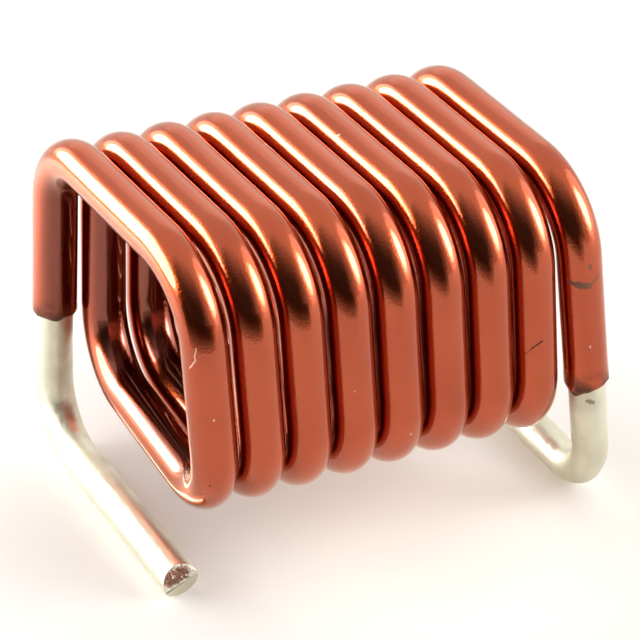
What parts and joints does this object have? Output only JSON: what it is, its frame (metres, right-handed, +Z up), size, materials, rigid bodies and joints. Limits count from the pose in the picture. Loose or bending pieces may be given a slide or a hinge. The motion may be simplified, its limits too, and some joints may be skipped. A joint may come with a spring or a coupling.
{
  "type": "air core inductor",
  "caption": "Air core inductor: one enamelled copper wire wound into close rounded-square turns, with both ends tinned and bent under as soldering feet.",
  "frame": {"origin": "middle of the footprint at the underside of the feet, on the board", "axes": "+X along the coil's axis from the first turn to the last, +Z up from the board, -Y the side that the first foot's free end points to"},
  "size_m": [0.0084, 0.006, 0.0065],
  "materials": {
    "enamelled_copper": "gloss amber enamel over copper, bare tinned metal at the feet"
  },
  "bodies": {
    "root": {"winding": "enamelled_copper"}
  },
  "joints": []
}
